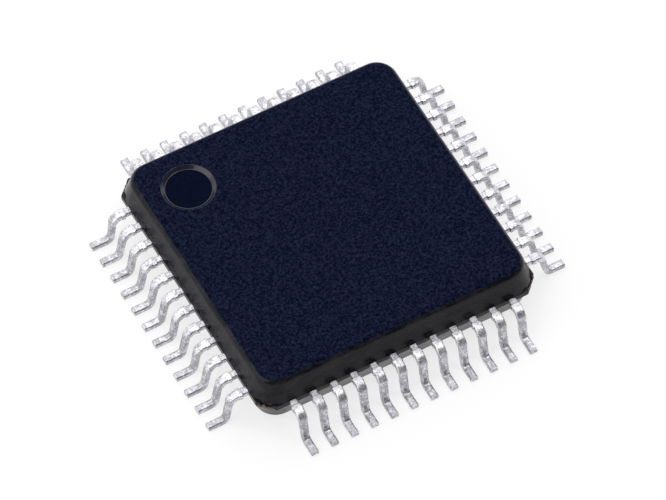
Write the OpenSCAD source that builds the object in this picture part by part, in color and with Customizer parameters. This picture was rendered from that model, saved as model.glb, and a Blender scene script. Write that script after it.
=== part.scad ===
// Quad flat pack: gull-wing leads on all four sides of a moulded body.
// A stamped leadframe carries the die on a down-set paddle. Gold wires join the
// die to the fanned lead tips, and two moulded halves close over all of it.
// Millimetres. The board plane is z = 0, the package centre is on the Z axis.

/* [Body] */
// Width of the moulded body, side to side at the parting band
body_w = 7; // [6.8:0.05:7.4]
// Thickness of the moulding, bottom face to top face
body_t = 1.4; // [1.3:0.01:1.6]
// Gap between the board and the bottom face
standoff = 0.1; // [0.05:0.01:0.15]
// Draft of the moulded side walls, in degrees
draft = 17; // [5:1:18]
// Fillet between a side wall and the top or bottom face
edge_r = 0.2; // [0.05:0.01:0.22]
// Plan radius of the moulded corners at the parting band
corner_r = 0.65; // [0.5:0.01:0.8]
// Leg of the corner chamfers on the parting band
band_chamfer = 0.35; // [0.3:0.01:0.4]
// Width of the notch punched round each tie bar end
notch_w = 0.28; // [0.24:0.01:0.32]
// Depth of the notch punched round each tie bar end
notch_d = 0.05; // [0.03:0.01:0.08]

/* [Pin one mark] */
// Radius of the mark at the top face
mark_r = 0.62; // [0.4:0.01:0.7]
// Depth of the mark
mark_depth = 0.07; // [0.06:0.005:0.1]
// Slope of the mark's wall from upright, in degrees
mark_slope = 50; // [20:1:55]
// Fillet between the mark's wall and its floor
mark_fillet = 0.03; // [0.01:0.005:0.03]
// Radius of the mark's rounded rim
mark_rim_r = 0.02; // [0.01:0.005:0.03]
// Distance of the mark's centre from the pin 1 side
mark_from_side = 1.23; // [1.1:0.01:1.6]
// Distance of the mark's centre from the last pin's side
mark_from_end = 1.27; // [1.1:0.01:1.6]

/* [Outer leads] */
// Distance between lead centres
pitch = 0.5; // [0.46:0.01:0.6]
// Least distance from the body's corner to the centre of a lead
corner_margin = 0.7; // [0.65:0.01:0.9]
// Reach of a lead from the body's side to its tip
lead_reach = 1; // [0.9:0.01:1.2]
// Thickness of the leadframe
lead_t = 0.127; // [0.1:0.001:0.15]
// Width of a lead at the body
neck_w = 0.19; // [0.17:0.01:0.22]
// Length of the neck between the body and the dambar stub
neck_l = 0.15; // [0.1:0.01:0.18]
// Width left by the trimmed dambar
stub_w = 0.25; // [0.23:0.01:0.27]
// Length of the dambar stub along the lead
stub_l = 0.09; // [0.07:0.01:0.12]
// Width of the shoulder and the upper bend
shoulder_w = 0.22; // [0.18:0.01:0.23]
// Length of the level shoulder between the dambar stub and the upper bend
shoulder_l = 0.01; // [0.005:0.005:0.05]
// Width of the slope and the foot
blade_w = 0.18; // [0.16:0.01:0.22]
// Slope of the lead from upright, in degrees
blade_slope = 11; // [5:1:18]
// Inside radius of both bends
bend_r = 0.14; // [0.1:0.01:0.16]

/* [Leadframe inside the body] */
// Clearance between the paddle's side and the lead tips
tip_gap = 0.3; // [0.2:0.01:0.4]
// Clearance between a tie bar and the nearest lead tip
tie_gap = 0.13; // [0.1:0.01:0.3]
// Length of the straight lead tip that takes the wire
tip_l = 0.1; // [0.08:0.01:0.15]
// Width of the lead between the body edge and its tip
inner_w = 0.19; // [0.15:0.01:0.2]
// Length of the straight lead just inside the body
root_l = 0.2; // [0.15:0.01:0.3]
// Width of the square die paddle
paddle_w = 4.2; // [3.8:0.05:4.3]
// Drop of the paddle below the lead plane
downset = 0.2; // [0.16:0.01:0.24]
// Width of the four corner tie bars
tie_w = 0.2; // [0.15:0.01:0.22]
// Distance of the tie bar's upper bend from the paddle corner
tie_rise_at = 0.5; // [0.35:0.01:0.6]

/* [Die] */
// Width of the square die
die_w = 3; // [2.4:0.05:3.2]
// Thickness of the die
die_t = 0.28; // [0.2:0.01:0.3]
// Thickness of the adhesive under the die
attach_t = 0.025; // [0.02:0.005:0.04]
// Margin of adhesive that shows round the die
attach_margin = 0.06; // [0.03:0.01:0.1]

/* [Bond wires] */
// Diameter of the gold wire
wire_d = 0.025; // [0.02:0.001:0.033]
// Distance of the first and last bond pad from the die's corner
pad_margin = 0.235; // [0.2:0.005:0.4]
// Distance of the bond pads from the die's edge
pad_inset = 0.08; // [0.06:0.01:0.12]
// Diameter of the ball on each bond pad
ball_d = 0.07; // [0.05:0.005:0.09]
// Height of the flattened ball
ball_h = 0.015; // [0.01:0.001:0.02]
// Height of the wire loop above the die
loop_h = 0.2; // [0.14:0.01:0.24]
// Centre-line radius of the bend at the top of the loop
loop_r = 0.05; // [0.03:0.005:0.06]
// Distance of the stitch bond from the lead tip
stitch_back = 0.05; // [0.03:0.01:0.07]

/* [Hidden] */
$fn = 48;
// overshoot of a cutting tool past the face that it opens
cut = 0.05;

half_w = body_w / 2;
// as many leads as fit between the corner margins
leads_per_side = floor((body_w - 2 * corner_margin) / pitch) + 1;
lead_count = 4 * leads_per_side;
// the leadframe lies half way up the moulding
frame_z = standoff + body_t / 2;
frame_top = frame_z + lead_t / 2;
frame_bottom = frame_z - lead_t / 2;
body_top = standoff + body_t;
// height of each moulded half above or below the parting band
half_t = (body_t - lead_t) / 2;
// distance of a corner chamfer from the Z axis, along the diagonal
chamfer_reach = (body_w - band_chamfer) / sqrt(2);
tie_end = chamfer_reach - notch_d;

// fillet circle of the moulded edge, from a corner's axis and the parting band
fillet_z = half_t - edge_r;
fillet_x = corner_r - fillet_z * tan(draft) - edge_r / cos(draft);
corner_axis = half_w - corner_r;

// places along a lead, out from the package centre, and the height of its upper bend
stub_x = half_w + neck_l;
shoulder_x = stub_x + stub_l;
upper_x = shoulder_x + shoulder_l;
upper_z = frame_bottom - bend_r;
tip_x = half_w + lead_reach;
// the straight slope between the bends, and the lower bend's centre from the upper one's
outer_r = bend_r + lead_t;
bend_drop = upper_z - outer_r;
slope_l = (bend_drop + (bend_r + outer_r) * sin(blade_slope)) / cos(blade_slope);
bend_run = (bend_r + outer_r) * cos(blade_slope) + slope_l * sin(blade_slope);

// the mark's floor, and the circles that round its floor edge and its rim
mark_floor_r = mark_r - mark_depth * tan(mark_slope);
mark_fillet_x = mark_floor_r - mark_fillet * (1 - sin(mark_slope)) / cos(mark_slope);
mark_rim_z = mark_depth - mark_rim_r;
mark_rim_x = mark_floor_r + (mark_rim_r + mark_rim_z * sin(mark_slope)) / cos(mark_slope);

paddle_top = frame_top - downset;
paddle_corner = paddle_w / sqrt(2);
tip_ring = paddle_w / 2 + tip_gap;
tip_row = 2 * tip_ring - inner_w - (tie_w + 2 * tie_gap) * sqrt(2);
tip_pitch = tip_row / (leads_per_side - 1);
attach_top = paddle_top + attach_t;
die_top = attach_top + die_t;
pad_ring = die_w / 2 - pad_inset;
pad_pitch = (die_w - 2 * pad_margin) / (leads_per_side - 1);
stitch_ring = tip_ring + stitch_back;
loop_top = die_top + loop_h;

function two_digits(n) = str(n < 10 ? "0" : "", n);
function lead_name(n) = str("lead_", two_digits(n));
function side_of(n) = floor((n - 1) / leads_per_side);
// places along a side, counted from its middle
function place_of(n) = (n - 1) % leads_per_side - (leads_per_side - 1) / 2;

// ---- moulded body ----

// section of one moulded half from a corner's axis outward: drafted wall and filleted edge
module half_section() {
    polygon([
        [0, 0],
        [corner_r, 0],
        [fillet_x + edge_r * cos(draft), fillet_z + edge_r * sin(draft)],
        [fillet_x, half_t],
        [0, half_t]
    ]);
    translate([fillet_x, fillet_z])
        circle(r = edge_r);
}

// a wall of the moulded half with the solid behind it, along the +X side
module half_wall() {
    rotate([90, 0, 0])
        linear_extrude(height = 2 * corner_axis, center = true) {
            translate([corner_axis, 0])
                half_section();
            square([corner_axis, half_t]);
        }
}

module half_corner() {
    translate([corner_axis, corner_axis, 0])
        rotate_extrude(angle = 90)
            intersection() {
                half_section();
                square([corner_r, half_t]);
            }
}

// one moulded half, standing on the parting band
module moulded_half() {
    for (side = [0 : 3])
        rotate([0, 0, 90 * side]) {
            half_wall();
            half_corner();
        }
}

// resin level with the leadframe, chamfered at the corners and notched round the tie bars
module parting_band() {
    translate([0, 0, frame_bottom])
        linear_extrude(height = lead_t)
            difference() {
                square(body_w, center = true);
                for (side = [0 : 3])
                    rotate(45 + 90 * side) {
                        translate([chamfer_reach, -corner_r])
                            square([corner_r, 2 * corner_r]);
                        translate([tie_end, -notch_w / 2])
                            square([corner_r, notch_w]);
                    }
            }
}

// section of the mark: flat floor, fillet, sloped wall and rounded rim
module mark_section() {
    difference() {
        union() {
            polygon([
                [0, 0],
                [mark_fillet_x, 0],
                [mark_fillet_x + mark_fillet * cos(mark_slope), mark_fillet * (1 - sin(mark_slope))],
                [mark_rim_x - mark_rim_r * cos(mark_slope), mark_rim_z + mark_rim_r * sin(mark_slope)],
                [mark_rim_x, mark_depth],
                [mark_rim_x, mark_depth + cut],
                [0, mark_depth + cut]
            ]);
            translate([mark_fillet_x, mark_fillet])
                circle(r = mark_fillet);
        }
        translate([mark_rim_x, mark_rim_z])
            circle(r = mark_rim_r);
    }
}

// round recess beside pin 1
module pin_one_mark() {
    translate([mark_from_side - half_w, half_w - mark_from_end, body_top - mark_depth])
        rotate_extrude()
            mark_section();
}

module mould_body() {
    color([0.07, 0.08, 0.13])
        difference() {
            union() {
                translate([0, 0, frame_top])
                    moulded_half();
                parting_band();
                translate([0, 0, frame_bottom])
                    mirror([0, 0, 1])
                        moulded_half();
            }
            pin_one_mark();
            for (n = [1 : lead_count])
                at_lead(n)
                    lead_flat(place_of(n));
            paddle_shape(cut);
            attach_shape();
            die_shape();
            wire_shapes();
        }
}

// ---- leads ----

// puts a lead drawn along +X on its side; pins count round from the pin 1 corner
module at_lead(n) {
    rotate([0, 0, 180 + 90 * side_of(n)])
        children();
}

// stamped flat of a lead: tip, fan and root inside the body, then neck, dambar stub and shoulder
module lead_flat(place) {
    root_y = place * pitch;
    tip_y = place * tip_pitch;
    // distance from the package centre, place across and width
    stations = [
        [tip_ring, tip_y, inner_w],
        [tip_ring + tip_l, tip_y, inner_w],
        [half_w - root_l, root_y, inner_w],
        [half_w, root_y, neck_w],
        [stub_x, root_y, neck_w],
        [stub_x, root_y, stub_w],
        [shoulder_x, root_y, stub_w],
        [shoulder_x, root_y, shoulder_w],
        [upper_x, root_y, shoulder_w]
    ];
    translate([0, 0, frame_bottom])
        linear_extrude(height = lead_t)
            polygon(concat(
                [for (s = stations) [s[0], s[1] - s[2] / 2]],
                [for (k = [len(stations) - 1 : -1 : 0])
                    let (s = stations[k]) [s[0], s[1] + s[2] / 2]]
            ));
}

// solid sector of a bend about its centre, from straight up round to the slope
module bend_sector() {
    intersection() {
        circle(r = outer_r);
        polygon([
            [0, 0],
            [outer_r, outer_r * tan(blade_slope)],
            [outer_r, outer_r],
            [0, outer_r]
        ]);
    }
}

// side view of the formed lead from the upper bend's centre: level, bend, slope, bend and foot
module gull_section() {
    across = [cos(blade_slope), sin(blade_slope)];
    lower = [bend_run, -bend_drop];
    foot_end = tip_x - upper_x;
    difference() {
        union() {
            polygon([
                [-shoulder_l, bend_r],
                [0, bend_r],
                bend_r * across,
                lower - outer_r * across,
                lower - [0, outer_r],
                [foot_end, -bend_drop - outer_r],
                [foot_end, -bend_drop - bend_r],
                lower - [0, bend_r],
                lower - bend_r * across,
                outer_r * across,
                [0, outer_r],
                [-shoulder_l, outer_r]
            ]);
            bend_sector();
            translate(lower)
                rotate(180)
                    bend_sector();
        }
        circle(r = bend_r);
        translate(lower)
            circle(r = bend_r);
    }
}

// gull wing outside the body, which stays as wide as the shoulder down to the bend's centre
module lead_form() {
    translate([upper_x, 0, upper_z])
        rotate([90, 0, 0]) {
            linear_extrude(height = blade_w, center = true)
                gull_section();
            linear_extrude(height = shoulder_w, center = true)
                intersection() {
                    gull_section();
                    translate([-shoulder_l, 0])
                        square([shoulder_l + outer_r, outer_r]);
                }
        }
}

module lead(n) {
    color([0.8, 0.8, 0.84])
        at_lead(n) {
            lead_flat(place_of(n));
            translate([0, place_of(n) * pitch, 0])
                lead_form();
        }
}

// ---- paddle and tie bars ----

module paddle_shape(spare = 0) {
    translate([0, 0, paddle_top - lead_t / 2])
        cube([paddle_w, paddle_w, lead_t], center = true);
    for (side = [0 : 3])
        rotate([0, 0, 45 + 90 * side])
            rotate([90, 0, 0])
                linear_extrude(height = tie_w, center = true)
                    tie_section(spare);
}

// side view of a tie bar: level with the paddle, up the down-set, out in the lead plane
module tie_section(spare) {
    start = paddle_corner - tie_w;
    low = paddle_corner + tie_rise_at - downset;
    high = paddle_corner + tie_rise_at;
    polygon([
        [start, paddle_top - lead_t],
        [low, paddle_top - lead_t],
        [high, frame_bottom],
        [tie_end + spare, frame_bottom],
        [tie_end + spare, frame_top],
        [high, frame_top],
        [low, paddle_top],
        [start, paddle_top]
    ]);
}

module die_paddle() {
    color([0.72, 0.45, 0.3])
        paddle_shape();
}

// ---- die and its adhesive ----

module slab(width, thickness, base_z) {
    translate([-width / 2, -width / 2, base_z])
        cube([width, width, thickness]);
}

module attach_shape() {
    slab(die_w + 2 * attach_margin, attach_t, paddle_top);
}

module die_shape() {
    slab(die_w, die_t, attach_top);
}

module die_attach() {
    color([0.55, 0.56, 0.6])
        attach_shape();
}

module die() {
    color([0.3, 0.32, 0.4])
        die_shape();
}

// ---- bond wires ----

// one wire from its pad to its lead tip: ball, rise, bend and straight fall
module wire_shape(place) {
    run = [stitch_ring - pad_ring, place * (tip_pitch - pad_pitch)];
    // from the bend's centre to the stitch, along and down
    along = norm(run) - loop_r;
    down = loop_top - loop_r - frame_top;
    // degrees below level, to a round thousandth so that bend and straights share their faces
    fall = round(1000 * (atan2(down, along) + asin(loop_r / norm([along, down])))) / 1000;
    // the slanting end runs on past the lead's face, where the cutter trims it
    fall_l = along * cos(fall) + down * sin(fall) + wire_d / tan(fall);
    translate([pad_ring, place * pad_pitch, die_top])
        rotate([0, 0, atan2(run[1], run[0])]) {
            cylinder(d = ball_d, h = ball_h);
            cylinder(d = wire_d, h = loop_h - loop_r);
            translate([loop_r, 0, loop_h - loop_r]) {
                rotate([90, 0, 0])
                    rotate([0, 0, 90 - fall])
                        rotate_extrude(angle = 90 + fall)
                            translate([loop_r, 0])
                                circle(d = wire_d);
                rotate([0, fall, 0])
                    translate([0, 0, loop_r])
                        rotate([0, 90, 0])
                            cylinder(d = wire_d, h = fall_l);
            }
        }
}

// every wire, trimmed flush with the lead tips' top faces
module wire_shapes() {
    difference() {
        for (n = [1 : lead_count])
            at_lead(n)
                wire_shape(place_of(n));
        slab(body_w, lead_t, frame_bottom);
    }
}

module bond_wires() {
    color([0.85, 0.68, 0.3])
        wire_shapes();
}

// ---- nodes ----

mould_body();
die_paddle();
die_attach();
die();
bond_wires();
for (n = [1 : lead_count])
    lead(n);
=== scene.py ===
import math
import random

import bmesh
import bpy
from mathutils import Matrix, Vector, noise


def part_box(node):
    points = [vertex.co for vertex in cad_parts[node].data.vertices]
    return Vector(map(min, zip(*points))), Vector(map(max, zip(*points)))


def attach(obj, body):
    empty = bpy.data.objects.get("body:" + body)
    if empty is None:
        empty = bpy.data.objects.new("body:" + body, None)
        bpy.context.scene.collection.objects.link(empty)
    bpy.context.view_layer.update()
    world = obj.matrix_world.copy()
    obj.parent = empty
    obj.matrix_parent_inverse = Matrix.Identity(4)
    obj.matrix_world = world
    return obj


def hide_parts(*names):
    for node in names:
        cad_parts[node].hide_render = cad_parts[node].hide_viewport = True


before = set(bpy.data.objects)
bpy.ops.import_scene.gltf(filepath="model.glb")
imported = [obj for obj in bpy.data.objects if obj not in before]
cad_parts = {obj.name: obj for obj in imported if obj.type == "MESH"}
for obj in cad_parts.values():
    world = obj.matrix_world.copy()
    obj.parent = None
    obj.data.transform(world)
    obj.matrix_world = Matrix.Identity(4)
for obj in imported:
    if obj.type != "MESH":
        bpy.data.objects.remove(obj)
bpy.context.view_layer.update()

mm = 0.001
scene = bpy.context.scene
scene.view_settings.view_transform = "Standard"
bodyLow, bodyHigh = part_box("mould_body")
halfBody = bodyHigh.x / mm
bodyTop = bodyHigh.z / mm
bodyMiddle = (bodyTop + bodyLow.z / mm) / 2
print("frame loaded:", len(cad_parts), "CAD nodes")


# small helpers for node trees

def newMaterial(name):
    material = bpy.data.materials.new(name)
    material.use_nodes = True
    tree = material.node_tree
    return material, tree, tree.nodes["Principled BSDF"]


def addNode(tree, kind, links=None, **settings):
    node = tree.nodes.new(kind)
    for name, value in settings.items():
        setattr(node, name, value)
    for socket, source in (links or {}).items():
        if isinstance(source, bpy.types.NodeSocket):
            tree.links.new(source, node.inputs[socket])
        else:
            node.inputs[socket].default_value = source
    return node


def calc(tree, operation, first, second=0.0, third=0.0, clamp=False):
    node = addNode(tree, "ShaderNodeMath", {0: first, 1: second, 2: third}, operation=operation)
    node.use_clamp = clamp
    return node.outputs[0]


def blendColours(tree, factor, first, second):
    node = addNode(tree, "ShaderNodeMix", data_type="RGBA")
    for socket, source in ((node.inputs[0], factor), (node.inputs[6], first), (node.inputs[7], second)):
        if isinstance(source, bpy.types.NodeSocket):
            tree.links.new(source, socket)
        else:
            socket.default_value = source
    return node.outputs[2]


def noiseAt(tree, place, grainSize, detail=2.0, roughness=0.5):
    node = addNode(tree, "ShaderNodeTexNoise", {"Vector": place, "Scale": 1 / (grainSize * mm),
                                                "Detail": detail, "Roughness": roughness})
    return node.outputs["Fac"]


def remap(tree, value, fromLow, fromHigh, toLow, toHigh):
    node = addNode(tree, "ShaderNodeMapRange", {"Value": value, "From Min": fromLow, "From Max": fromHigh,
                                                "To Min": toLow, "To Max": toHigh})
    return node.outputs["Result"]


# moulding resin: spark-textured faces, smoother side walls, a polished floor in the round mark

resin = {
    "skins": {  # colours from dark to light, roughness low to high, shine, depth of the texture in mm
        "face": {"colours": ((0.0002, 0.0016, 0.0120, 1), (0.0165, 0.0200, 0.0470, 1)),
                 "roughness": (0.55, 0.75), "shine": 0.02, "depth": 0.006},
        "wall": {"colours": ((0.0012, 0.0016, 0.0052, 1), (0.0200, 0.0190, 0.0215, 1)),
                 "roughness": (0.12, 0.34), "shine": 0.18, "depth": 0.001},
        "mark": {"colours": ((0.0008, 0.0022, 0.0130, 1), (0.0026, 0.0044, 0.0175, 1)),
                 "roughness": (0.16, 0.22), "shine": 0.015, "depth": 0.0004},
        "rim": {"colours": ((0.0010, 0.0024, 0.0120, 1), (0.0060, 0.0075, 0.0200, 1)),
                "roughness": (0.14, 0.26), "shine": 0.6, "depth": 0.0006},
    },
    "grain": 0.066,  # mm across one pit of the texture
    "fineShare": 0.4,  # share of the finer pits among them
    "streak": 0.45,  # mm along one drag streak on the walls
    "streakShare": 0.7,
    "flatten": 3.5,  # how much longer than high a streak is
    "toneSpan": (0.43, 0.65),  # speckle that runs from the dark to the light colour
    "roughSpan": (0.40, 0.62),
    "markCentre": (-2.27, 2.23),  # mm
    "markRadius": 0.64,
    "markDeep": 0.2,  # the mark's faces lie at most this far below the top, mm
    "flush": 0.0005,
    "floorLevel": 0.999,  # upright part of a normal on the mark's floor
    "faceReach": 0.87,  # how level a spot on the rounded edge is to take the face's texture
    "faceFrom": 0.5,  # and how far from mid-height, mm
}


def makeResin(skin):
    look = resin["skins"][skin]
    material, tree, shader = newMaterial(skin + "Resin")
    place = addNode(tree, "ShaderNodeTexCoord").outputs["Object"]
    grain = noiseAt(tree, place, resin["grain"], 3.0, 0.6)
    if skin == "wall":
        flatScale = (1.0, 1.0, resin["flatten"])
        flattened = addNode(tree, "ShaderNodeMapping", {"Vector": place, "Scale": flatScale})
        second = noiseAt(tree, flattened.outputs["Vector"], resin["streak"], 4.0, 0.65)
        share = resin["streakShare"]
    else:
        second = noiseAt(tree, place, resin["grain"] * 0.6, 2.0, 0.6)
        share = resin["fineShare"]
    speckle = calc(tree, "MULTIPLY_ADD", second, share, calc(tree, "MULTIPLY", grain, 1 - share))
    tone = remap(tree, speckle, *resin["toneSpan"], 0.0, 1.0)
    tree.links.new(blendColours(tree, tone, *look["colours"]), shader.inputs["Base Color"])
    tree.links.new(remap(tree, speckle, *resin["roughSpan"], *look["roughness"]), shader.inputs["Roughness"])
    shader.inputs["Specular IOR Level"].default_value = look["shine"]
    bump = addNode(tree, "ShaderNodeBump", {"Height": speckle, "Distance": look["depth"] * mm,
                                            "Strength": 1.0})
    tree.links.new(bump.outputs["Normal"], shader.inputs["Normal"])
    return material


def skinOf(face):
    spot = face.center / mm
    fromMark = (spot.xy - Vector(resin["markCentre"])).length
    if fromMark < resin["markRadius"] and resin["flush"] < bodyTop - spot.z < resin["markDeep"]:
        return "mark" if face.normal.z > resin["floorLevel"] else "rim"
    level = abs(face.normal.z) > resin["faceReach"]
    if level and abs(spot.z - bodyMiddle) > resin["faceFrom"]:
        return "face"
    return "wall"


def dressBody(node):
    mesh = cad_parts[node].data
    mesh.materials.clear()
    skins = list(resin["skins"])
    for skin in skins:
        mesh.materials.append(makeResin(skin))
    for face in mesh.polygons:
        face.material_index = skins.index(skinOf(face))


# matt tin plate over the copper leads, with painted shade on the feet and slopes and a painted highlight on
# the cleaner shoulders

tin = {
    "colour": (0.78, 0.77, 0.81, 1),
    # colour of the real stains, also used as painted shade on the feet and slopes
    "stainAndShadeColour": (0.40, 0.395, 0.43, 1),
    "roughness": (0.32, 0.50),
    "grain": 0.05,  # mm
    "grainHeight": 0.002,
    "blotch": 0.16,
    "blotchShare": 0.4,
    "scratch": (2.0, 60.0, 1.0),  # scratches along a lead and round it
    "stainAndPaintedShade": (0.50, 0.49, 0.43),  # mottle level that stains: on the foot, the slope and the shoulder; the random stains are real, but grading their share by height is painted shade on the foot and slope and a painted highlight on the shoulder
    "footHeights": (0.10, 0.25),  # mm over which the foot's level gives way to the slope's
    "shoulderHeights": (0.66, 0.80),
    "stainAndShadeEdge": (-0.03, 0.10),  # how softly a stain and the painted shade end
    "lines": ((0.135, 0.012), (0.97, 0.014)),  # dark tool marks: distance from the body and half width
    "waver": 0.06,  # how far they wander, mm
    "lineStrength": 0.9,
}


def makeTin():
    material, tree, shader = newMaterial("mattTin")
    place = addNode(tree, "ShaderNodeTexCoord").outputs["Object"]
    along = addNode(tree, "ShaderNodeUVMap", uv_map="leadMap").outputs["UV"]
    grain = noiseAt(tree, place, tin["grain"], 3.0, 0.6)
    blotch = noiseAt(tree, place, tin["blotch"], 2.0, 0.5)
    stretched = addNode(tree, "ShaderNodeMapping", {"Vector": along, "Scale": tin["scratch"]})
    scratch = addNode(tree, "ShaderNodeTexNoise", {"Vector": stretched.outputs["Vector"], "Scale": 1.0,
                                                   "Detail": 3.0, "Roughness": 0.7}).outputs["Fac"]
    share = tin["blotchShare"]
    mottle = calc(tree, "MULTIPLY_ADD", blotch, share, calc(tree, "MULTIPLY", grain, 1 - share))
    axes = addNode(tree, "ShaderNodeSeparateXYZ", {"Vector": place}).outputs
    # stain level graded by height: painted shade on the foot and slope, a painted highlight where the
    # shoulder stays clean
    foot, slope, shoulder = tin["stainAndPaintedShade"]
    footLow, footHigh = tin["footHeights"]
    shoulderLow, shoulderHigh = tin["shoulderHeights"]
    low = remap(tree, axes["Z"], footLow * mm, footHigh * mm, foot, slope)
    high = remap(tree, axes["Z"], shoulderLow * mm, shoulderHigh * mm, slope, shoulder)
    level = calc(tree, "MINIMUM", low, high)
    stainAndPaintedShade = remap(tree, calc(tree, "SUBTRACT", mottle, level), *tin["stainAndShadeEdge"], 1.0, 0.0)
    out = calc(tree, "MAXIMUM", calc(tree, "ABSOLUTE", axes["X"]), calc(tree, "ABSOLUTE", axes["Y"]))
    wavy = calc(tree, "MULTIPLY_ADD", blotch, tin["waver"] * mm, out)
    for distance, half in tin["lines"]:
        line = (halfBody + distance + tin["waver"] / 2) * mm
        gap = calc(tree, "ABSOLUTE", calc(tree, "SUBTRACT", wavy, line))
        marked = remap(tree, gap, half * mm, half * 2 * mm, tin["lineStrength"], 0.0)
        stainAndPaintedShade = calc(tree, "MAXIMUM", stainAndPaintedShade, marked)
    # real stains, tool marks and the painted shade all darken the tin here
    colour = blendColours(tree, stainAndPaintedShade, tin["colour"], tin["stainAndShadeColour"])
    tree.links.new(colour, shader.inputs["Base Color"])
    shader.inputs["Metallic"].default_value = 1.0
    worn = calc(tree, "MULTIPLY_ADD", scratch, 0.5, calc(tree, "MULTIPLY", mottle, 0.5))
    tree.links.new(remap(tree, worn, 0.35, 0.65, *tin["roughness"]), shader.inputs["Roughness"])
    height = calc(tree, "MULTIPLY_ADD", scratch, 0.5, grain)
    bump = addNode(tree, "ShaderNodeBump", {"Height": height, "Distance": tin["grainHeight"] * mm,
                                            "Strength": 1.0})
    tree.links.new(bump.outputs["Normal"], shader.inputs["Normal"])
    return material


# the inner pieces, and the copper tie bars that show at the corners

inner = {
    "copper": {"colours": ((0.16, 0.095, 0.075, 1), (0.46, 0.31, 0.25, 1)), "metal": 1.0,
               "roughness": (0.35, 0.6), "grain": 0.05},
    "smear": {"colours": ((0.010, 0.008, 0.008, 1), (0.20, 0.145, 0.135, 1)), "metal": 0.4,
              "roughness": (0.30, 0.6), "grain": 0.07},
    "silicon": {"colours": ((0.10, 0.11, 0.15, 1), (0.16, 0.17, 0.22, 1)), "metal": 0.6,
                "roughness": (0.08, 0.18), "grain": 0.4},
    "silverGlue": {"colours": ((0.38, 0.38, 0.40, 1), (0.55, 0.55, 0.58, 1)), "metal": 0.7,
                   "roughness": (0.4, 0.7), "grain": 0.03},
    "goldWire": {"colours": ((0.80, 0.55, 0.20, 1), (0.95, 0.70, 0.32, 1)), "metal": 1.0,
                 "roughness": (0.15, 0.3), "grain": 0.02},
}


def makeInner(name):
    look = inner[name]
    material, tree, shader = newMaterial(name)
    place = addNode(tree, "ShaderNodeTexCoord").outputs["Object"]
    grain = noiseAt(tree, place, look["grain"], 3.0, 0.6)
    tone = remap(tree, grain, 0.35, 0.65, 0.0, 1.0)
    tree.links.new(blendColours(tree, tone, *look["colours"]), shader.inputs["Base Color"])
    shader.inputs["Metallic"].default_value = look["metal"]
    tree.links.new(remap(tree, grain, 0.3, 0.7, *look["roughness"]), shader.inputs["Roughness"])
    return material


dressBody("mould_body")
materials = {name: makeInner(name) for name in inner}
materials["tin"] = makeTin()
for node, look in (("die_paddle", "copper"), ("die_attach", "silverGlue"), ("die", "silicon"),
                   ("bond_wires", "goldWire")):
    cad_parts[node].data.materials.clear()
    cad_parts[node].data.materials.append(materials[look])
print("materials made:", len(materials))


# leads: one lofted gull wing each, from the wire end inside the body to the trimmed foot

lead = {  # mm and degrees
    "tipLength": 0.1,
    "innerWidth": 0.19,
    "rootLength": 0.2,
    "neckWidth": 0.19,
    "neckLength": 0.15,
    "stubWidth": 0.25,
    "stubLength": 0.09,
    "shoulderWidth": 0.22,
    "shoulderLength": 0.01,
    "bladeWidth": 0.18,
    "slope": 11,
    "bendRadius": 0.14,
    "footRadius": 0.09,
    "topEdge": 0.040,  # rolled over by the punch
    "bottomEdge": 0.012,
    "step": 0.03,  # between sections
    "bendStep": 0.14,  # radians between sections round a bend
    "shear": 0.003,  # half the length in which the width steps
    "taper": 0.25,  # radians of the upper bend in which the shoulder narrows to the blade
    "cornerPoints": 4,
    "strips": (4, 2),  # faces across the flats and down the sides
    "near": 0.001,
    "dent": 0.0016,  # height of the unevenness
    "dentScale": 22,
    "sharp": 40,
    "slopeSpread": 0.8,
    "liftSpread": 0.008,
    "seed": 48,
    "bent": {1: (6, 0.0), 37: (10, 0.05), 38: (11, 0.045)},  # slope and lift of leads that were knocked
}


def middleAcross(points):
    return (min(p.y for p in points) + max(p.y for p in points)) / 2


def leadEnds(node, turn):
    points = [turn @ vertex.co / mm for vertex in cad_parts[node].data.vertices]
    outer = max(p.x for p in points)
    innermost = min(p.x for p in points)
    foot = [p for p in points if p.x > outer - lead["near"]]
    tip = [p for p in points if p.x < innermost + lead["near"]]
    return {"tip": outer, "inner": innermost, "place": middleAcross(foot), "innerPlace": middleAcross(tip),
            "thick": max(p.z for p in foot), "top": max(p.z for p in points)}


def spread(first, last, step):
    count = max(1, math.ceil(abs(last - first) / step))
    return [first + (last - first) * k / count for k in range(1, count + 1)]


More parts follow.
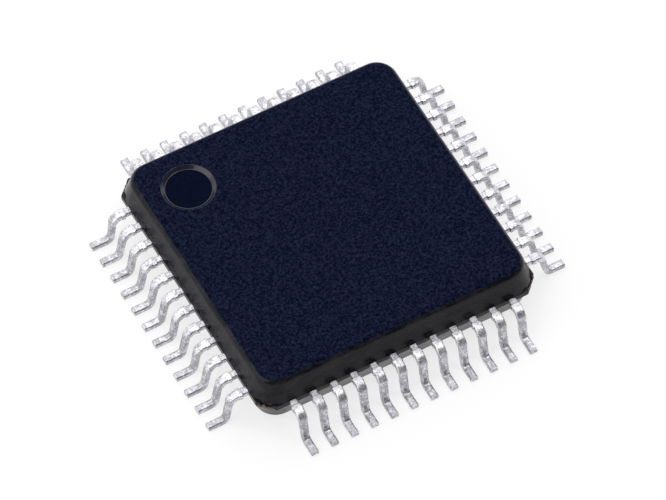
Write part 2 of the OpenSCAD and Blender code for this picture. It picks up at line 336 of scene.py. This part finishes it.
def leadSections(ends, slope, lift):
    thick = ends["thick"]
    radius = lead["bendRadius"]
    level = ends["top"] - thick / 2
    stubStart = halfBody + lead["neckLength"]
    stubEnd = stubStart + lead["stubLength"]
    bendStart = stubEnd + lead["shoulderLength"]
    middleRadius = radius + thick / 2
    footRadius = lead["footRadius"] + thick / 2
    upperZ = level - middleRadius
    lowerZ = lift + footRadius + thick / 2
    angle = math.radians(slope)
    bothRadii = middleRadius + footRadius
    straight = (upperZ - lowerZ + bothRadii * math.sin(angle)) / math.cos(angle)
    lowerX = bendStart + bothRadii * math.cos(angle) + straight * math.sin(angle)
    place = ends["place"]
    away = ends["innerPlace"]
    root = halfBody - lead["rootLength"]
    fanStart = ends["inner"] + lead["tipLength"]
    sections = []  # out, up, angle of the outer face's normal, across, width

    def flat(first, last, widthFirst, widthLast, acrossFirst=place, acrossLast=place):
        for out in spread(first, last, lead["step"]):
            share = (out - first) / (last - first)
            sections.append((out, level, math.pi / 2, acrossFirst + (acrossLast - acrossFirst) * share,
                             widthFirst + (widthLast - widthFirst) * share))

    innermost = lead["innerWidth"]
    shear = lead["shear"]
    neck = lead["neckWidth"]
    stub = lead["stubWidth"]
    shoulder = lead["shoulderWidth"]
    blade = lead["bladeWidth"]
    sections.append((ends["inner"], level, math.pi / 2, away, innermost))
    flat(ends["inner"], fanStart, innermost, innermost, away, away)
    flat(fanStart, root, innermost, innermost, away, place)
    flat(root, halfBody, innermost, neck)
    flat(halfBody, stubStart - shear, neck, neck)
    flat(stubStart - shear, stubStart + shear, neck, stub)
    flat(stubStart + shear, stubEnd - shear, stub, stub)
    flat(stubEnd - shear, stubEnd + shear, stub, shoulder)
    flat(stubEnd + shear, bendStart, shoulder, shoulder)
    for turned in spread(math.pi / 2, angle, lead["bendStep"]):
        widened = min(1.0, (turned - angle) / lead["taper"])
        width = blade + (shoulder - blade) * widened
        out = bendStart + middleRadius * math.cos(turned)
        sections.append((out, upperZ + middleRadius * math.sin(turned), turned, place, width))
    startX = bendStart + middleRadius * math.cos(angle)
    startZ = upperZ + middleRadius * math.sin(angle)
    for gone in spread(0, straight, lead["step"]):
        out = startX + gone * math.sin(angle)
        sections.append((out, startZ - gone * math.cos(angle), angle, place, blade))
    for turned in spread(angle, math.pi / 2, lead["bendStep"]):
        sections.append((lowerX - footRadius * math.cos(turned), lowerZ - footRadius * math.sin(turned),
                         turned, place, blade))
    for out in spread(lowerX, ends["tip"], lead["step"]):
        sections.append((out, lift + thick / 2, math.pi / 2, place, blade))
    return sections


def ringPoints(width, thick):
    points = []
    corners = (  # centre across and up, radius, start angle
        (width / 2 - lead["topEdge"], thick / 2 - lead["topEdge"], lead["topEdge"], 0),
        (lead["topEdge"] - width / 2, thick / 2 - lead["topEdge"], lead["topEdge"], 90),
        (lead["bottomEdge"] - width / 2, lead["bottomEdge"] - thick / 2, lead["bottomEdge"], 180),
        (width / 2 - lead["bottomEdge"], lead["bottomEdge"] - thick / 2, lead["bottomEdge"], 270),
    )
    for k, (across, up, radius, start) in enumerate(corners):
        for step in range(lead["cornerPoints"]):
            turned = math.radians(start + 90 / (lead["cornerPoints"] - 1) * step)
            points.append(Vector((across + radius * math.cos(turned), up + radius * math.sin(turned))))
        following = corners[(k + 1) % 4]
        turned = math.radians(following[3])
        target = Vector((following[0] + following[2] * math.cos(turned),
                         following[1] + following[2] * math.sin(turned)))
        strips = lead["strips"][k % 2]
        last = points[-1]
        for step in range(1, strips):
            points.append(last.lerp(target, step / strips))
    return points


def makeLead(number, node):
    side = (number - 1) // (len(leadNodes) // 4)
    turn = Matrix.Rotation(math.radians(180 + 90 * side), 4, "Z")
    ends = leadEnds(node, turn.inverted())
    draw = random.Random(lead["seed"] + number)
    slope = lead["slope"] + draw.uniform(-lead["slopeSpread"], lead["slopeSpread"])
    lift = draw.uniform(0, lead["liftSpread"])
    slope, lift = lead["bent"].get(number, (slope, lift))
    sections = leadSections(ends, slope, lift)
    mesh = bpy.data.meshes.new(node)
    build = bmesh.new()
    uvLayer = build.loops.layers.uv.new("leadMap")
    rings = []
    travel = 0.0
    previous = None
    distances = []
    for out, up, normal, across, width in sections:
        if previous:
            travel += math.hypot(out - previous[0], up - previous[1])
        previous = (out, up)
        distances.append(travel)
        ring = []
        for point in ringPoints(width, ends["thick"]):
            raised = up + point.y * math.sin(normal)
            spot = Vector((out + point.y * math.cos(normal), across + point.x, raised))
            uneven = noise.noise(spot * lead["dentScale"] + Vector((number, 0, 0))) * lead["dent"]
            push = Vector((point.y * math.cos(normal), point.x, point.y * math.sin(normal))).normalized()
            spot += push * uneven
            spot.z = max(spot.z, 0.0)
            ring.append(build.verts.new(turn @ spot * mm))
        rings.append(ring)
    count = len(rings[0])
    for k in range(len(rings) - 1):
        for m in range(count):
            after = (m + 1) % count
            face = build.faces.new((rings[k][m], rings[k + 1][m], rings[k + 1][after], rings[k][after]))
            here, there = distances[k], distances[k + 1]
            values = ((here, m), (there, m), (there, m + 1), (here, m + 1))
            for loop, (gone, around) in zip(face.loops, values):
                loop[uvLayer].uv = (gone, around / count)
    build.faces.new(list(reversed(rings[0])))
    build.faces.new(rings[-1])
    bmesh.ops.recalc_face_normals(build, faces=build.faces)
    build.to_mesh(mesh)
    build.free()
    for face in mesh.polygons:
        face.use_smooth = True
    mesh.set_sharp_from_angle(angle=math.radians(lead["sharp"]))
    mesh.materials.append(materials["tin"])
    piece = bpy.data.objects.new(node.replace("lead_", "lead"), mesh)
    scene.collection.objects.link(piece)
    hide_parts(node)
    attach(piece, "root")


# torn copper and resin left where the tie bars were cut at the corners

burr = {  # mm
    "axis": 2.85,  # of the rounded corner
    "radius": 0.65,
    "chamfer": 0.6715,  # from that axis to the flat of the corner
    "width": 0.42,
    "top": 0.80,
    "drop": 0.24,
    "draft": 17,  # degrees
    "bandHalf": 0.0635,  # half the height of the parting band
    "lap": 0.03,  # below the band before the burr follows the wall
    "stand": 0.010,
    "sink": 0.03,  # of its back into the body
    "jag": 0.09,
    "topTear": (9, 3.1, 0.4),  # waves across, step from burr to burr and start
    "lowTear": (14, 5.7, 2.4),
    "columns": 22,
    "rows": 8,
    "sharp": 50,
}


def tear(across, number, waves, step, start):
    return noise.noise(Vector((across * waves, number * step, start)))


def makeBurr(number):
    turn = Matrix.Rotation(math.radians(90 * number), 4, "Z")
    build = bmesh.new()
    sheets = []
    for sink in (0, burr["sink"]):
        sheet = []
        for i in range(burr["columns"]):
            across = i / (burr["columns"] - 1) - 0.5
            angle = math.radians(45) + across * burr["width"] / burr["radius"]
            flatReach = burr["chamfer"] / math.cos(angle - math.radians(45))
            tornLow = tear(across, number, *burr["lowTear"])
            high = burr["top"] + burr["jag"] * tear(across, number, *burr["topTear"]) * 0.6
            bow = math.sqrt(max(0.0, 1 - (2 * across) ** 2))
            low = high - burr["drop"] * (0.25 + 0.75 * bow) - burr["jag"] * tornLow
            column = []
            for j in range(burr["rows"]):
                z = high + (low - high) * j / (burr["rows"] - 1)
                below = max(0.0, bodyMiddle - burr["bandHalf"] - z)
                wall = burr["radius"] - below * math.tan(math.radians(burr["draft"]))
                reach = wall if below > burr["lap"] else flatReach
                rough = noise.noise(Vector((across * 8, z * 14, number * 2.2))) * 0.5 + 0.5
                reach += burr["stand"] * (0.4 + rough * 1.6) - sink
                x = burr["axis"] + reach * math.cos(angle)
                y = burr["axis"] + reach * math.sin(angle)
                spot = Vector((x, y, z))
                column.append(build.verts.new(turn @ spot * mm))
            sheet.append(column)
        sheets.append(sheet)
    outer, back = sheets
    for i in range(burr["columns"] - 1):
        for j in range(burr["rows"] - 1):
            build.faces.new((outer[i][j], outer[i][j + 1], outer[i + 1][j + 1], outer[i + 1][j]))
            build.faces.new((back[i][j], back[i + 1][j], back[i + 1][j + 1], back[i][j + 1]))
    for i in range(burr["columns"] - 1):
        for j in (0, burr["rows"] - 1):
            build.faces.new((outer[i][j], outer[i + 1][j], back[i + 1][j], back[i][j]))
    for j in range(burr["rows"] - 1):
        for i in (0, burr["columns"] - 1):
            build.faces.new((outer[i][j], outer[i][j + 1], back[i][j + 1], back[i][j]))
    bmesh.ops.recalc_face_normals(build, faces=build.faces)
    mesh = bpy.data.meshes.new("burr")
    build.to_mesh(mesh)
    build.free()
    for face in mesh.polygons:
        face.use_smooth = True
    mesh.set_sharp_from_angle(angle=math.radians(burr["sharp"]))
    mesh.materials.append(materials["smear"])
    piece = bpy.data.objects.new("tieBurr%d" % (number + 1), mesh)
    scene.collection.objects.link(piece)
    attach(piece, "root")


for number in range(4):
    makeBurr(number)
print("corner burrs made")

leadNodes = sorted(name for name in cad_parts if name.startswith("lead_"))
for number, node in enumerate(leadNodes, 1):
    makeLead(number, node)
print("leads made:", len(leadNodes))


# floor, light and camera

studio = {
    "floorColour": (0.98, 0.98, 0.98, 1),
    "floorReach": 0.6,  # metres
    "floorDrop": 0.003,  # mm below the feet
    "whiteShare": 0.75,  # share of the floor that is plain white, to the eye and in the metal
    "whiteStrength": 1.0,
    "horizon": 1.0,  # brightness of the surroundings: low down, overhead, and above the floor in front
    "zenith": 0.4,
    "front": 0.22,
    "frontAzimuth": 12,  # degrees
    "skyHeights": (0.30, 0.65),  # where the horizon gives way to the zenith
    "frontFade": (0.0, 0.35),
    "lamps": {  # azimuth and height in degrees, distance and width in metres, brightness
        "backPanel": (152, 58, 0.5, 0.55, 1.05),
        "leftKey": (-90, 52, 0.5, 0.50, 1.25),
        "rightSpot": (70, 66, 0.5, 0.14, 4.0),
    },
}


def seenWhite(tree):
    path = addNode(tree, "ShaderNodeLightPath").outputs
    seen = calc(tree, "ADD", path["Is Camera Ray"], path["Is Glossy Ray"])
    return calc(tree, "ADD", seen, path["Is Transmission Ray"], clamp=True)


def makeFloor():
    mesh = bpy.data.meshes.new("floor")
    reach = studio["floorReach"]
    mesh.from_pydata([(-reach, -reach, 0), (reach, -reach, 0), (reach, reach, 0), (-reach, reach, 0)],
                     [], [(0, 1, 2, 3)])
    floor = bpy.data.objects.new("floor", mesh)
    floor.location.z = -studio["floorDrop"] * mm
    scene.collection.objects.link(floor)
    material, tree, shader = newMaterial("paleFloor")
    shader.inputs["Base Color"].default_value = studio["floorColour"]
    shader.inputs["Roughness"].default_value = 1.0
    shader.inputs["Specular IOR Level"].default_value = 0.0
    white = addNode(tree, "ShaderNodeEmission", {"Strength": studio["whiteStrength"]})
    share = calc(tree, "MULTIPLY", seenWhite(tree), studio["whiteShare"])
    mixed = addNode(tree, "ShaderNodeMixShader", {0: share, 1: shader.outputs[0], 2: white.outputs[0]})
    tree.links.new(mixed.outputs[0], tree.nodes["Material Output"].inputs["Surface"])
    mesh.materials.append(material)


def makeWorld():
    world = bpy.data.worlds.new("studio")
    scene.world = world
    world.use_nodes = True
    tree = world.node_tree
    towards = addNode(tree, "ShaderNodeTexCoord").outputs["Generated"]
    up = addNode(tree, "ShaderNodeSeparateXYZ", {"Vector": towards}).outputs["Z"]
    a = math.radians(studio["frontAzimuth"])
    ahead = addNode(tree, "ShaderNodeVectorMath", {0: towards, 1: (math.sin(a), -math.cos(a), 0)},
                    operation="DOT_PRODUCT").outputs["Value"]
    height = remap(tree, up, *studio["skyHeights"], studio["horizon"], studio["zenith"])
    shade = remap(tree, ahead, *studio["frontFade"], 1.0, 0.0)
    strength = calc(tree, "MULTIPLY_ADD", height, shade, studio["front"])
    path = addNode(tree, "ShaderNodeLightPath").outputs["Is Camera Ray"]
    tree.links.new(calc(tree, "MAXIMUM", strength, path), tree.nodes["Background"].inputs["Strength"])
    tree.nodes["Background"].inputs["Color"].default_value = (1, 1, 1, 1)


def makeLamp(name, azimuth, height, distance, width, brightness):
    light = bpy.data.lights.new(name, "AREA")
    light.energy = brightness * math.pi * width * width
    light.size = width
    lamp = bpy.data.objects.new(name, light)
    a, h = math.radians(azimuth), math.radians(height)
    towards = Vector((math.sin(a) * math.cos(h), -math.cos(a) * math.cos(h), math.sin(h)))
    lamp.location = towards * distance
    lamp.rotation_mode = "QUATERNION"
    lamp.rotation_quaternion = towards.to_track_quat("Z", "Y")
    lamp.visible_camera = False
    scene.collection.objects.link(lamp)


cameraLook = {
    "azimuth": -28.05,
    "height": 55.36,
    "roll": -0.85,
    "distance": 0.1557,
    "target": (0.000207, 0.000094, 0),
    "lens": 376.68,
}


def makeCamera():
    data = bpy.data.cameras.new("camera")
    data.lens = cameraLook["lens"]
    data.sensor_width = 36
    data.clip_start = 0.001
    data.clip_end = 10
    camera = bpy.data.objects.new("camera", data)
    scene.collection.objects.link(camera)
    a = math.radians(cameraLook["azimuth"])
    h = math.radians(cameraLook["height"])
    r = math.radians(cameraLook["roll"])
    back = Vector((math.sin(a) * math.cos(h), -math.cos(a) * math.cos(h), math.sin(h)))
    right = Vector((0, 0, 1)).cross(back).normalized()
    up = back.cross(right)
    rolledRight = right * math.cos(r) + up * math.sin(r)
    rolledUp = up * math.cos(r) - right * math.sin(r)
    turn = Matrix((rolledRight, rolledUp, back)).transposed().to_4x4()
    turn.translation = Vector(cameraLook["target"]) + back * cameraLook["distance"]
    camera.matrix_world = turn
    scene.camera = camera


makeFloor()
makeWorld()
for name, values in studio["lamps"].items():
    makeLamp(name, *values)
makeCamera()
print("studio made")

bpy.context.view_layer.update()
